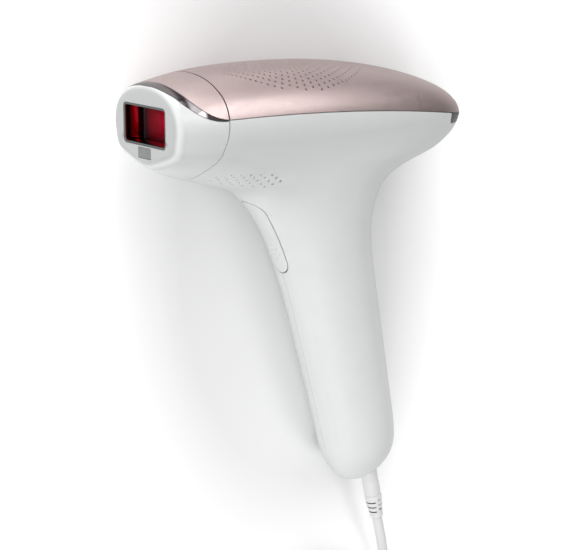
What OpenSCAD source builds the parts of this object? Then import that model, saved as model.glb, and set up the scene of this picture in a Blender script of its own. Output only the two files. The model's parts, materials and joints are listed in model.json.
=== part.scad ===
// Intense pulsed light hair remover: pistol-shaped handset lying on its right side,
// with its low-voltage lead and plug-in wall adapter.
//
// The handset is drawn upright in its own frame: X runs from the treatment face to the tail,
// Y across it, and Z up. placed() then lays it down on the table, in the pose in which it rests.

/* [Body] */
// Wall of the two housing halves and the top cover
wall = 2.2; // [1.6:0.1:3]
// Wall of the attachment
attachment_wall = 2.0; // [1.4:0.1:2.6]
// Gap between the attachment and the housing
seam_gap = 0.2; // [0.1:0.05:0.5]
// Points round each level of the body
ring_points = 32; // [16:4:48]

/* [Treatment window] */
// Width of the window opening
window_w = 29; // [20:1:32]
// Height of the window opening
window_h = 14; // [10:1:15]
// Depth of the mirrored window frame
window_depth = 8; // [5:0.5:9]
// Width of the skin tone sensor
sensor_w = 9.4; // [6:0.2:12]
// Height of the skin tone sensor
sensor_h = 4.4; // [3:0.2:5]

/* [Trigger] */
// Length of the trigger along the grip
trigger_len = 36.4; // [30:0.2:40]
// Half width of the trigger at its top
trigger_top_r = 6.5; // [5:0.1:7]
// Half width of the trigger at its bottom
trigger_foot_r = 5.4; // [4:0.1:6]
// Gap round the trigger
trigger_gap = 0.35; // [0.2:0.05:0.6]

/* [Lamp and cooling] */
// Diameter of the flash lamp
lamp_d = 6; // [5:0.5:7]
// Side of the square fan frame
fan_size = 30; // [25:1:30]
// Thickness of the fan
fan_depth = 10; // [8:1:12]
// Number of fan blades
fan_blades = 7; // [5:1:9]

/* [Lead and adapter] */
// Diameter of the lead
cord_d = 4.5; // [4:0.1:5.5]
// Length of the adapter body
adapter_len = 50; // [44:1:60]
// Width of the adapter body
adapter_w = 42; // [36:1:48]
// Height of the adapter body without its pins
adapter_h = 28; // [24:1:34]
// Diameter of a mains pin
mains_pin_d = 4; // [3.8:0.1:4.8]
// Length of a mains pin
mains_pin_len = 19; // [17:0.5:20]
// Distance between the two mains pins
mains_pin_pitch = 18.6; // [17:0.1:20]

/* [Hidden] */
$fn = 48;

// Resting pose: it leans on the side of its head and the side of its grip.
rest_tilt = 3.2;
rest_roll = 3.8;
rest_shift = [-78.4, 70.5, 30.1];

// Levels of the body: height, front, rear, where it is widest, half width, and how square the
// plan is in front of and behind its widest point.
LEVELS = [
    [21.8, 52, 60, 56, 1.5, 2.2, 2], [21.5, 41, 71, 55, 4.8, 2.2, 2],
    [20.5, 26, 85, 50, 10, 2.2, 2], [18.6, 13.5, 100, 44, 15.4, 2.2, 2],
    [15.4, 0, 117, 40, 19.8, 2.3, 2], [11, -10, 133, 36, 23.8, 2.5, 2],
    [5.5, -16, 147, 34, 26, 2.7, 2], [0, -17, 155.2, 33, 26.6, 2.8, 2],
    [-5, -16, 158.6, 34, 26, 2.8, 2], [-10, -13, 157.6, 38, 24.2, 3.2, 2],
    [-15, 0.5, 153.2, 48, 22.6, 2.4, 2], [-20, 8.4, 144, 64, 21.4, 2, 2],
    [-25, 24, 127.6, 72, 20.8, 2, 2], [-30, 40.4, 116.2, 76, 20.4, 2, 2.1],
    [-37, 48.9, 110.8, 79, 20, 2, 2.1], [-46, 55.6, 107.8, 82, 19.6, 2.1, 2.1],
    [-58, 61.8, 107.6, 84.5, 19.1, 2.1, 2.1], [-76, 68.6, 110.4, 89.3, 18.2, 2.1, 2.1],
    [-98, 74.9, 114.5, 94.7, 17.1, 2.1, 2.1], [-120, 80.9, 118.4, 99.8, 16.1, 2.1, 2.1],
    [-138, 85.6, 121.6, 103.6, 15.5, 2.1, 2.1], [-148, 88.3, 121.6, 105, 14.5, 2.1, 2.1],
    [-155, 91.2, 117.6, 104.5, 12.3, 2.1, 2.1], [-159.5, 94.6, 111.4, 103, 9, 2, 2],
    [-162.2, 98.4, 106.2, 102.3, 4.7, 2, 2], [-162.9, 100.6, 104, 102.3, 1.6, 2, 2]
];

// Nose: the flat treatment face with its rounded edge.
nose_half_w = 24.2;
nose_top = 16.6;
nose_foot = 17.3;
face_wall = 2.6;
// Rounded edge of the face: distance from the face, and how far the outline is drawn in there.
FACE_EDGE = [[0, 4], [0.5, 2.2], [1.2, 1.1], [2.2, 0.2], [4, -1], [7, -2.6], [60, -30]];

// Seam between attachment and housing, a cylinder across the nose.
seam_r = 50;
seam_x = 22;
seam_z = 2.7;

// Parting line of the top cover, a long shallow arc.
parting_r = 758;
parting_x = 35;
parting_z = 3.3;

// Swoosh of the chrome trim: two superellipse arcs [centre x, half width, half height, power].
TRIM_UPPER = [22.5, 19.5, 18.7, 1.8];
TRIM_LOWER = [20.5, 21, 19.2, 1.9];
trim_centre_z = 22;
trim_steps = 14;

// Grip
grip_lean = 12.7;
grip_centre = [94.7, 0, -98];

// Tail panel
panel_x = 147;
panel_foot = -9.8;
panel_depth = 1.8;
button_d = 6;
button_z = -6.3;
button_face_x = 157.7;
light_d = 1.6;
light_ys = [-7.4, -5.2, 5.2, 7.4];

// Lamp frame, the snout that the attachment slides over
frame_front = 9.5;
frame_rear = 34;
frame_half_w = 18.5;
frame_half_h = 10.5;
cavity_half_w = 15.5;
cavity_half_h = 8;
lamp_x = 19.5;
lamp_half_len = 18;
bulkhead_x = 24.2;
bulkhead_t = 2;
contact_z = -13.2;
contact_ys = [-4.5, -1.5, 1.5, 4.5];
latch_y = 8;
latch_z = 11.2;
latch_w = 5;
latch_t = 1.1;
latch_hook = 1;
latch_front = 2.7;
latch_rear = 28.5;
screw_spots = [[-13.8, 13.1], [13.8, 13.1], [-15, -13.6], [15, -13.6]];

// Fan
fan_centre = [49, 0, 0];
fan_bore_d = fan_size - 2;
fan_hub_d = 12;
fan_shaft_d = 2;

// Flash capacitor
capacitor_d = 21;
capacitor_front = [86, 0, -5];
capacitor_len = 42;

// Trigger
trigger_centre = [56, 0, -50.6];
trigger_slope = 30.2;
trigger_shell = 1.8;
pin_at = [55, 0, -39.2];
pin_d = 2.4;
pin_half_len = 8.6;
bracket_depth = 13;
bracket_t = 1.6;
plunger_d = 2;
spring_d = 5;
spring_wire = 0.6;
spring_turns = 5;
spring_s = 3;
switch_s = 11;

// Housing screws: x and z of each one
HOUSING_SCREWS = [[134, -10], [67, -28], [97, -147]];
boss_d = 6;
pilot_d = 2.4;
clearance_d = 3.2;
screw_head_d = 5.4;

// Lead: the outlet at the foot of the grip, then the route to the coil and on to the adapter
outlet = [111, 0, -157];
plug_d = 7.3;
plug_end = 16.4;
jack_d = 5.5;
relief_end = 27.4;
relief_tip_d = 5.4;
socket_d = 9.4;
COIL_CENTRE = [22, -172];
COIL_RADII = [20.5, 25, 29.5];
COIL_LAYERS = 4;
LEAD_ROUTE = [
    [37.7, -113, 12.1], [38.8, -117.5, 11.7], [40, -122, 11.1], [41.3, -126.5, 10.2],
    [42.6, -131, 9.1], [43.9, -135.5, 7.8], [45.1, -140, 6.5], [46.3, -144.5, 5.2],
    [47.4, -149, 4.1], [48.4, -153.5, 3.2], [49.3, -158, 2.6], [50.2, -162, 2.3],
    [50.8, -165.6, 2.25]
];
ADAPTER_ROUTE = [
    [22, -201.5, 15.75], [17.5, -201.4, 15.7], [13, -200.8, 15.5], [8.5, -199.6, 15.2],
    [4, -197.9, 14.9], [-0.5, -195.9, 14.6], [-5, -194.1, 14.3], [-9.5, -192.8, 14.1],
    [-14.5, -192.1, 14], [-20, -192, 14]
];
adapter_end = [-32, -192, 14];
adapter_round = 6;

// ---- Geometry of the body ----

function plan_point(level, a) =
    let (c = cos(a), s = sin(a),
         power = c >= 0 ? level[6] : level[5],
         reach = c >= 0 ? level[2] - level[3] : level[3] - level[1])
    [level[3] + sign(c) * reach * pow(abs(c), 2 / power),
     sign(s) * level[4] * pow(abs(s), 2 / power),
     level[0]];

function level_ring(level) =
    [for (j = [0:ring_points - 1]) plan_point(level, 360 * j / ring_points)];

function unit(v) = v / norm(v);

function surface_normal(rings, i, j) =
    let (n = len(rings), m = ring_points,
         along = rings[i][(j + 1) % m] - rings[i][(j + m - 1) % m],
         down = rings[min(i + 1, n - 1)][j] - rings[max(i - 1, 0)][j])
    unit(cross(down, along));

function body_rings(inset) =
    let (rings = [for (level = LEVELS) level_ring(level)])
    [for (i = [0:len(rings) - 1])
        [for (j = [0:ring_points - 1]) rings[i][j] - inset * surface_normal(rings, i, j)]];

// Closed solid through a list of rings with the same number of points.
module skin(rings) {
    m = len(rings[0]);
    n = len(rings);
    sides = [for (i = [0:n - 2]) for (j = [0:m - 1]) let (k = (j + 1) % m)
        each [[i * m + j, i * m + k, (i + 1) * m + j], [i * m + k, (i + 1) * m + k, (i + 1) * m + j]]];
    first = [for (j = [m - 1:-1:0]) j];
    last = [for (j = [0:m - 1]) (n - 1) * m + j];
    polyhedron(points = [for (ring = rings) each ring], faces = concat(sides, [first, last]));
}

// Round tube through a list of points.
function path_tangent(path, i) =
    unit(path[min(i + 1, len(path) - 1)] - path[max(i - 1, 0)]);

function tube_ring(centre, tangent, r, sides) =
    let (u = unit(cross(tangent, abs(tangent[2]) > 0.9 ? [1, 0, 0] : [0, 0, 1])),
         v = cross(u, tangent))
    [for (j = [0:sides - 1]) centre + r * (cos(360 * j / sides) * u + sin(360 * j / sides) * v)];

module tube(path, d, sides = 10) {
    skin([for (i = [0:len(path) - 1]) tube_ring(path[i], path_tangent(path, i), d / 2, sides)]);
}

module body_form(inset = 0) {
    skin(body_rings(inset));
}

module body_shell(thickness) {
    difference() {
        body_form();
        body_form(thickness);
    }
}

function nose_ring(x, shrink) =
    [for (j = [0:ring_points - 1])
        let (a = 360 * j / ring_points, c = cos(a), s = sin(a), power = s > 0 ? 2.2 : 2.9,
             h = (s > 0 ? nose_top : nose_foot) - shrink)
        [x, sign(c) * (nose_half_w - shrink) * pow(abs(c), 2 / power),
         sign(s) * h * pow(abs(s), 2 / power)]];

// Everything behind the rounded edge of the treatment face.
module nose_envelope() {
    skin([for (step = FACE_EDGE) nose_ring(step[0], step[1])]);
}

module seam_cylinder(r) {
    translate([seam_x - seam_r, 0, seam_z])
        rotate([90, 0, 0])
            cylinder(r = r, h = 80, center = true, $fn = 720);
}

module parting_cylinder(lift = 0) {
    translate([parting_x, 0, parting_z - parting_r])
        rotate([90, 0, 0])
            cylinder(r = parting_r + lift, h = 80, center = true, $fn = 1440);
}

// Region of the attachment above one arc of the trim, seen from the side.
function trim_arc(arc) =
    [for (i = [0:trim_steps]) let (a = 90 * i / trim_steps)
        [arc[0] - arc[1] * pow(cos(a), 2 / arc[3]), trim_centre_z - arc[2] * pow(sin(a), 2 / arc[3])]];

module above_trim(arc, lift) {
    translate([0, 0, lift])
        rotate([90, 0, 0])
            linear_extrude(height = 80, center = true)
                polygon(concat([[30, 40], [arc[0] - arc[1], 40]], trim_arc(arc),
                    [[30, trim_centre_z - arc[2]]]));
}

module tail_region(grow = 0) {
    translate([panel_x - grow, -20, panel_foot - grow]) cube([20, 40, 20]);
}

module placed() {
    translate(rest_shift)
        rotate([rest_tilt - 90, rest_roll, 0])
            children();
}

module in_grip() {
    translate(grip_centre) rotate([0, -grip_lean, 0]) children();
}

// Frame on the trigger: +X goes into the grip along the surface normal, -Z down its slope.
module at_trigger(s = 0, depth = 0) {
    translate(trigger_centre) rotate([0, -trigger_slope, 0]) translate([depth, 0, -s]) children();
}

// Frame on the lead's outlet: +Z runs out along the lead.
module at_outlet(s = 0) {
    translate(outlet) rotate([0, 180 - grip_lean, 0]) translate([0, 0, s]) children();
}

module slab(half_w, half_h, front, rear) {
    translate([front, -half_w, -half_h]) cube([rear - front, 2 * half_w, 2 * half_h]);
}

module trigger_prism(grow = 0) {
    reach = trigger_len / 2;
    at_trigger()
        rotate([0, 90, 0])
            linear_extrude(height = 40, center = true)
                hull() {
                    translate([-reach + trigger_top_r, 0]) circle(r = trigger_top_r + grow);
                    translate([reach - trigger_foot_r, 0]) circle(r = trigger_foot_r + grow);
                }
}

module across(d, y0, y1, at) {
    translate([at[0], y0, at[1]]) rotate([-90, 0, 0]) cylinder(d = d, h = y1 - y0);
}

// ---- Housing ----

// What both housing halves and the cover leave free.
module housing_cutouts() {
    seam_cylinder(seam_r);
    translate([-40, -40, -40]) cube([50, 80, 80]);
    tail_region(0.1);
    trigger_prism(trigger_gap);
    at_outlet(-4) cylinder(d = plug_d + 0.6, h = 14);
}

module housing_half(side) {
    difference() {
        intersection() {
            body_shell(wall);
            parting_cylinder();
            translate([0, side > 0 ? 0 : -40, -170]) cube([170, 40, 200]);
        }
        housing_cutouts();
        pin_bore(pin_d);
    }
}

module screw_bosses(side, bore) {
    for (spot = HOUSING_SCREWS)
        difference() {
            intersection() {
                across(side > 0 ? boss_d + 3 : boss_d, side > 0 ? 0.05 : -30, side > 0 ? 30 : -0.05, spot);
                body_form(wall - 0.3);
            }
            across(bore, -12, 40, spot);
        }
}

module pin_bore(d) {
    across(d, -pin_half_len, pin_half_len, [pin_at[0], pin_at[2]]);
}

module pin_seat(side) {
    difference() {
        intersection() {
            across(5.2, side > 0 ? 7 : -12, side > 0 ? 12 : -7, [pin_at[0], pin_at[2]]);
            body_form(wall - 0.3);
        }
        pin_bore(pin_d);
    }
}

module left_housing() {
    color("white") {
        housing_half(-1);
        screw_bosses(-1, pilot_d);
        pin_seat(-1);
    }
}

module right_housing() {
    color("white") {
        difference() {
            housing_half(1);
            for (spot = HOUSING_SCREWS) across(screw_head_d + 0.6, 4, 40, spot);
        }
        difference() {
            screw_bosses(1, clearance_d);
            for (spot = HOUSING_SCREWS) across(screw_head_d + 0.6, 9, 40, spot);
        }
        pin_seat(1);
    }
}

module top_cover() {
    color("rosybrown")
        difference() {
            body_shell(wall);
            parting_cylinder(0.1);
            seam_cylinder(seam_r);
            translate([-40, -40, -180]) cube([210, 80, 165]);
            translate([-40, -40, -40]) cube([50, 80, 80]);
            tail_holes();
        }
}

// Holes for the button and the lights, through the cover's edge and the tail panel.
module tail_holes() {
    translate([140, 0, button_z]) rotate([0, 90, 0]) cylinder(d = button_d + 0.4, h = 40);
    for (y = light_ys) light(y, light_d, 6);
}

// Wraps round the tail under the cover, with the button in the middle.
module rear_panel() {
    color("dimgray")
        difference() {
            intersection() {
                body_shell(panel_depth);
                tail_region();
                parting_cylinder();
            }
            tail_holes();
        }
}

// One light on the tail's flank, on the normal of its elliptical plan.
module light(y, d, depth) {
    half_w = 26;
    reach = 124.6;
    x = 34 + reach * sqrt(1 - pow(y / half_w, 2));
    turn = atan2(y / pow(half_w, 2), (x - 34) / pow(reach, 2));
    translate([x, y, button_z]) rotate([0, 90, turn])
        translate([0, 0, -depth]) cylinder(d = d, h = depth + 0.1);
}

module status_lights() {
    color("ivory") for (y = light_ys) light(y, light_d - 0.1, 2);
}

module housing_screws() {
    color("silver")
        for (spot = HOUSING_SCREWS) {
            across(screw_head_d, 9.1, 11, spot);
            across(pilot_d, -7, 9.2, spot);
        }
}

// ---- Front end under the attachment ----

module front_bulkhead() {
    color("lightgray")
        difference() {
            union() {
                intersection() {
                    body_form(wall + 0.1);
                    slab(40, 40, bulkhead_x, bulkhead_x + bulkhead_t);
                }
                translate([14, -7, contact_z - 2]) cube([bulkhead_x - 14, 14, 4]);
            }
            slab(frame_half_w + 0.1, frame_half_h + 0.1, 20, 30);
            for (y = contact_ys)
                translate([10, y, contact_z]) rotate([0, 90, 0]) cylinder(d = 1.4, h = 20);
            for (s = screw_spots)
                translate([20, s[0], s[1]]) rotate([0, 90, 0]) cylinder(d = 2.2, h = 10);
            for (side = [-1, 1]) {
                translate([20, side * latch_y - latch_w / 2 - 0.3, latch_z - 0.3])
                    cube([10, latch_w + 0.6, 2.9]);
                translate([20, side * 20.6, -5]) rotate([0, 90, 0]) cylinder(d = 3.2, h = 10);
            }
        }
}

module bulkhead_screws() {
    color("silver")
        for (s = screw_spots)
            translate([bulkhead_x, s[0], s[1]]) rotate([0, 90, 0]) {
                cylinder(d = 2, h = 7);
                translate([0, 0, -1.3]) cylinder(d = 3.8, h = 1.3);
            }
}

module contact_pins() {
    color("gold")
        for (y = contact_ys)
            translate([12.8, y, contact_z]) rotate([0, 90, 0]) cylinder(d = 1.2, h = 14.5);
}

module lamp_frame() {
    color("gainsboro")
        difference() {
            slab(frame_half_w, frame_half_h, frame_front, frame_rear);
            slab(cavity_half_w, cavity_half_h, frame_front - 1, frame_rear + 1);
            across(lamp_d + 1.2, -30, 30, [lamp_x, 0]);
        }
}

module filter_glass() {
    color("darkred") slab(cavity_half_w - 0.1, cavity_half_h - 0.1, frame_front + 0.6, frame_front + 2.6);
}

module flash_lamp() {
    color("aliceblue") across(lamp_d, -lamp_half_len, lamp_half_len, [lamp_x, 0]);
}

module lamp_electrodes() {
    color("silver")
        for (side = [-1, 1])
            across(lamp_d + 0.8, side > 0 ? lamp_half_len : -22, side > 0 ? 22 : -lamp_half_len,
                [lamp_x, 0]);
}

module lamp_reflector() {
    inner = 6.6;
    outer = 7.6;
    color("whitesmoke")
        intersection() {
            difference() {
                across(2 * outer, 0.2 - cavity_half_w, cavity_half_w - 0.2, [lamp_x, 0]);
                across(2 * inner, -30, 30, [lamp_x, 0]);
            }
            slab(20, 20, lamp_x, lamp_x + 10);
        }
}

module lamp_leads() {
    color("firebrick")
        for (side = [-1, 1])
            tube([[84.5, side * 6, -10], [76, side * 11, -12], [68, side * 15, -13],
                  [58, side * 18, -12], [48, side * 19.4, -10], [38, side * 20, -7],
                  [30, side * 20.6, -5], [26, side * 20.6, -5], [22.5, side * 20.6, -4.2],
                  [20.6, side * 20.6, -3.6]], 2, 8);
}

module air_duct() {
    color("silver")
        difference() {
            hull() {
                translate([frame_rear, -17.5, -10]) cube([1, 35, 20]);
                translate([42.5, -14.8, fan_centre[2] - 14.8]) cube([1, 29.6, 29.6]);
            }
            hull() {
                translate([frame_rear - 0.5, -16.2, -8.7]) cube([1, 32.4, 17.4]);
                translate([43, -13.6, fan_centre[2] - 13.6]) cube([1, 27.2, 27.2]);
            }
        }
}

module fan_axis() {
    translate(fan_centre) rotate([0, 90, 0]) children();
}

module fan_frame() {
    color("darkslategray") {
        difference() {
            translate(fan_centre - [fan_depth, fan_size, fan_size] / 2)
                cube([fan_depth, fan_size, fan_size]);
            fan_axis() cylinder(d = fan_bore_d, h = fan_depth + 2, center = true);
            for (y = [-1, 1], z = [-1, 1])
                translate([0, y * (fan_size / 2 - 2.4), z * (fan_size / 2 - 2.4)])
                    fan_axis() cylinder(d = 2.6, h = fan_depth + 2, center = true);
        }
        difference() {
            union() {
                fan_axis() translate([0, 0, fan_depth / 2 - 1.4]) cylinder(d = fan_hub_d, h = 1.4);
                for (turn = [45:90:315])
                    fan_axis() rotate([0, 0, turn])
                        translate([0, -0.8, fan_depth / 2 - 1.4]) cube([fan_bore_d / 2 + 0.4, 1.6, 1.4]);
            }
            fan_axis() cylinder(d = fan_shaft_d + 0.2, h = 30, center = true);
        }
    }
}

module fan_rotor() {
    color("darkslategray") {
        fan_axis() translate([0, 0, -fan_depth / 2 + 0.4]) cylinder(d = fan_hub_d, h = fan_depth - 2.2);
        fan_axis() translate([0, 0, 0]) cylinder(d = fan_shaft_d, h = fan_depth / 2 - 0.4);
        for (turn = [0:360 / fan_blades:359])
            fan_axis() rotate([0, 0, turn])
                translate([fan_hub_d / 2 - 0.6, 0, -0.8]) rotate([38, 0, 0])
                    translate([0, -0.5, -3]) cube([fan_bore_d / 2 - fan_hub_d / 2 - 0.4, 1, 6]);
    }
}

// ---- Electronics ----

module flash_capacitor() {
    color("royalblue")
        translate(capacitor_front) rotate([0, 90, 0]) {
            cylinder(d = capacitor_d, h = capacitor_len);
            for (y = [-6, 6]) translate([5, y, -1.5]) cylinder(d = 2.4, h = 2);
        }
}

module capacitor_clamp() {
    color("gray")
        translate(capacitor_front + [16, 0, 0])
            difference() {
                union() {
                    rotate([0, 90, 0]) cylinder(d = capacitor_d + 3, h = 10);
                    translate([0, -3, -15]) cube([10, 6, 5]);
                }
                translate([-1, 0, 0]) rotate([0, 90, 0]) cylinder(d = capacitor_d, h = 12);
            }
}

module main_board() {
    color("seagreen")
        in_grip()
            difference() {
                translate([-13, 1.8, -36]) cube([26, 1.6, 76]);
                for (z = [-32, 36], x = [-10, 10])
                    translate([x, 0, z]) rotate([-90, 0, 0]) cylinder(d = 2.6, h = 10);
            }
}

module board_components() {
    color("slategray")
        in_grip() {
            for (z = [-26, -14]) translate([-5, 1.8, z]) rotate([90, 0, 0]) cylinder(d = 8, h = 11);
            for (z = [-30, -20, -10]) translate([4, -2.2, z]) cube([6, 4, 5]);
            for (x = [-9, -1]) translate([x, -1.2, 30]) cube([6, 3, 3]);
            translate([3, 0.6, 2]) cube([8, 1.2, 5.5]);
        }
}

module charge_transformer() {
    color("goldenrod")
        in_grip() {
            difference() {
                translate([-10, -11.2, 8]) cube([20, 13, 17]);
                for (z = [9.8, 20.2]) translate([-11, -8.2, z]) cube([22, 7, 3]);
            }
        }
}

module control_board() {
    color("seagreen") translate([141, -7.5, -13]) cube([1.4, 15, 14]);
}

module button_switch() {
    color("black") translate([142.4, -3, button_z - 3]) cube([9, 6, 6]);
}

module power_button() {
    color("gray")
        translate([152.6, 0, button_z]) rotate([0, 90, 0]) cylinder(d = button_d, h = button_face_x - 152.6);
}

module dc_socket() {
    color("black")
        at_outlet(-16)
            difference() {
                cylinder(d = socket_d, h = 13.5);
                translate([0, 0, 2]) cylinder(d = jack_d + 0.1, h = 15);
            }
}

// ---- Trigger ----

module flash_trigger() {
    color("white") {
        difference() {
            intersection() {
                body_shell(trigger_shell);
                trigger_prism();
            }
            pin_bore(pin_d + 0.2);
        }
        difference() {
            union() {
                across(5.4, -5, 5, [pin_at[0], pin_at[2]]);
                intersection() {
                    body_form(trigger_shell - 0.3);
                    translate([40, -3, -44]) cube([15, 6, 6]);
                }
            }
            pin_bore(pin_d + 0.2);
        }
        intersection() {
            body_form(trigger_shell - 0.3);
            at_trigger(switch_s) translate([-12, -1.5, -1.5]) cube([16.6, 3, 3]);
        }
    }
}

module trigger_pin() {
    color("silver") across(pin_d, -pin_half_len + 0.2, pin_half_len - 0.2, [pin_at[0], pin_at[2]]);
}

module switch_bracket() {
    color("lightgray")
        at_trigger(7, bracket_depth + 0.1) translate([0, -7, -12]) cube([bracket_t, 14, 24]);
}

module trigger_switch() {
    color("black")
        at_trigger(switch_s, bracket_depth - 6)
            difference() {
                translate([0, -3.2, -4]) cube([6, 6.4, 8]);
                translate([-1, 0, 0]) rotate([0, 90, 0]) cylinder(d = plunger_d + 0.2, h = 5.2);
            }
}

module switch_plunger() {
    color("orangered")
        at_trigger(switch_s, bracket_depth - 8.2) rotate([0, 90, 0]) cylinder(d = plunger_d, h = 3.6);
}

module trigger_spring() {
    length = bracket_depth - 4;
    steps = 12 * spring_turns;
    color("silver")
        at_trigger(-spring_s, bracket_depth - length)
            tube([for (i = [0:steps]) let (a = 360 * i / 12)
                [spring_wire / 2 + (length - spring_wire) * i / steps,
                 (spring_d - spring_wire) / 2 * cos(a), (spring_d - spring_wire) / 2 * sin(a)]],
                spring_wire, 6);
}

// ---- Attachment ----

module attachment_wall_form() {
    difference() {
        intersection() {
            body_form();
            nose_envelope();
            seam_cylinder(seam_r - seam_gap);
        }
        intersection() {
            body_form(attachment_wall);
            slab(40, 40, face_wall, 40);
        }
    }
}

module face_openings() {
    slab(window_w / 2 + 1, window_h / 2 + 1, -1, 5);
    translate([-1, -sensor_w / 2, -window_h / 2 - 1.5 - sensor_h]) cube([6, sensor_w, sensor_h]);
}

module attachment_shell() {
    color("white")
        difference() {
            attachment_wall_form();
            above_trim(TRIM_LOWER, 0);
            face_openings();
        }
}

module attachment_cover() {
    color("rosybrown")
        intersection() {
            attachment_wall_form();
            above_trim(TRIM_UPPER, 0);
        }
}

module chrome_trim() {
    color("silver")
        difference() {
            intersection() {
                attachment_wall_form();
                above_trim(TRIM_LOWER, 0.05);
            }
            above_trim(TRIM_UPPER, -0.05);
        }
}

module window_frame() {
    color("slategray")
        difference() {
            slab(window_w / 2 + 0.95, window_h / 2 + 0.95, 0.1, window_depth);
            slab(window_w / 2, window_h / 2, -1, window_depth + 1);
        }
}

module skin_sensor() {
    color("gray")
        translate([0.1, -sensor_w / 2 + 0.1, -window_h / 2 - 1.4 - sensor_h])
            cube([3, sensor_w - 0.2, sensor_h - 0.2]);
}

module sensor_board() {
    color("seagreen") translate([3.2, -5.6, -13.4]) cube([1, 11.2, 4.8]);
}

module contact_block() {
    color("darkgray") translate([4.3, -5.6, contact_z - 0.8]) cube([8.1, 11.2, 1.8]);
}

module attachment_latches() {
    color("lightgray")
        for (side = [-1, 1])
            translate([0, side * latch_y - latch_w / 2, latch_z]) {
                translate([latch_front, 0, 0]) cube([latch_rear - latch_front, latch_w, latch_t]);
                translate([latch_rear - 1.9, 0, latch_t - 0.1])
                    cube([1.9, latch_w, latch_hook + 0.1]);
            }
}

// ---- Lead and adapter ----

module cord_plug() {
    color("gainsboro") at_outlet() {
        translate([0, 0, -13.5]) cylinder(d = jack_d, h = 12);
        translate([0, 0, -1.6]) cylinder(d = plug_d, h = plug_end + 1.6);
    }
}

module strain_relief() {
    slot_w = 0.9;
    color("gainsboro")
        at_outlet(plug_end)
            difference() {
                cylinder(d1 = plug_d + 0.3, d2 = relief_tip_d, h = relief_end - plug_end);
                translate([0, 0, -1]) cylinder(d = cord_d, h = 20);
                for (i = [0:2], side = [0, 180])
                    rotate([0, 0, 90 * (i % 2) + side])
                        translate([2.6, -2.4, 2 + 2.8 * i]) cube([4, 4.8, slot_w]);
            }
}

module power_cord() {
    color("white") tube(LEAD_ROUTE, cord_d - 0.1, 10);
}

module cord_coil() {
    inner = COIL_RADII[0] - cord_d / 2;
    outer = COIL_RADII[2] + cord_d / 2;
    color("white")
        translate([COIL_CENTRE[0], COIL_CENTRE[1], 0])
            rotate_extrude($fn = 96)
                translate([inner, 0]) square([outer - inner, COIL_LAYERS * cord_d]);
}

module cord_tie() {
    depth = COIL_RADII[2] - COIL_RADII[0] + cord_d;
    height = COIL_LAYERS * cord_d;
    t = 0.8;
    color("dimgray")
        translate([COIL_CENTRE[0] - 2.5, COIL_CENTRE[1] + COIL_RADII[0] - cord_d / 2 - t, 0])
            difference() {
                cube([5, depth + 2 * t, height + t]);
                translate([-1, t, t]) cube([7, depth, height - t]);
            }
}

module adapter_cord() {
    color("white") tube(ADAPTER_ROUTE, cord_d - 0.1, 10);
}

module adapter_relief() {
    color("white")
        translate(adapter_end) rotate([0, 90, 0]) cylinder(d1 = 9, d2 = 5.6, h = 12);
}

module adapter_body() {
    color("white")
        translate([adapter_end[0] - adapter_len, adapter_end[1] - adapter_w / 2, 0])
            hull()
                for (x = [adapter_round, adapter_len - adapter_round],
                     y = [adapter_round, adapter_w - adapter_round])
                    translate([x, y, 0]) {
                        cylinder(r = adapter_round - 1, h = adapter_h, $fn = 32);
                        translate([0, 0, 1]) cylinder(r = adapter_round, h = adapter_h - 2, $fn = 32);
                    }
}

module mains_pins() {
    color("silver")
        for (side = [-1, 1])
            translate([adapter_end[0] - adapter_len + 15, adapter_end[1] + side * mains_pin_pitch / 2,
                       adapter_h])
                cylinder(d = mains_pin_d, h = mains_pin_len);
}

placed() left_housing();
placed() right_housing();
placed() top_cover();
placed() rear_panel();
placed() status_lights();
placed() front_bulkhead();
placed() bulkhead_screws();
placed() contact_pins();
placed() lamp_frame();
placed() filter_glass();
placed() flash_lamp();
placed() lamp_electrodes();
placed() lamp_reflector();
placed() lamp_leads();
placed() air_duct();
placed() fan_frame();
placed() fan_rotor();
placed() flash_capacitor();
placed() capacitor_clamp();
placed() main_board();
placed() board_components();
placed() charge_transformer();
placed() control_board();
placed() button_switch();
placed() power_button();
placed() switch_bracket();
placed() trigger_switch();
placed() switch_plunger();
placed() trigger_spring();
placed() flash_trigger();
placed() trigger_pin();
placed() dc_socket();
placed() housing_screws();
placed() attachment_shell();
placed() attachment_cover();
placed() chrome_trim();
placed() window_frame();
placed() skin_sensor();
placed() sensor_board();
placed() contact_block();
placed() attachment_latches();
placed() cord_plug();
placed() strain_relief();
power_cord();
cord_coil();
cord_tie();
adapter_cord();
adapter_relief();
adapter_body();
mains_pins();
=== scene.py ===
# Looks of a pulsed-light hair remover: shells, trims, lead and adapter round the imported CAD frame.
#
# Shapes are worked out in the handset's own frame, in millimetres: X runs from the treatment face to
# the tail, Y across and Z up. PLACE then lays them on the table, in metres.
import json
import math

import bmesh
import bpy
import numpy as np
from mathutils import Matrix, Vector


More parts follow.
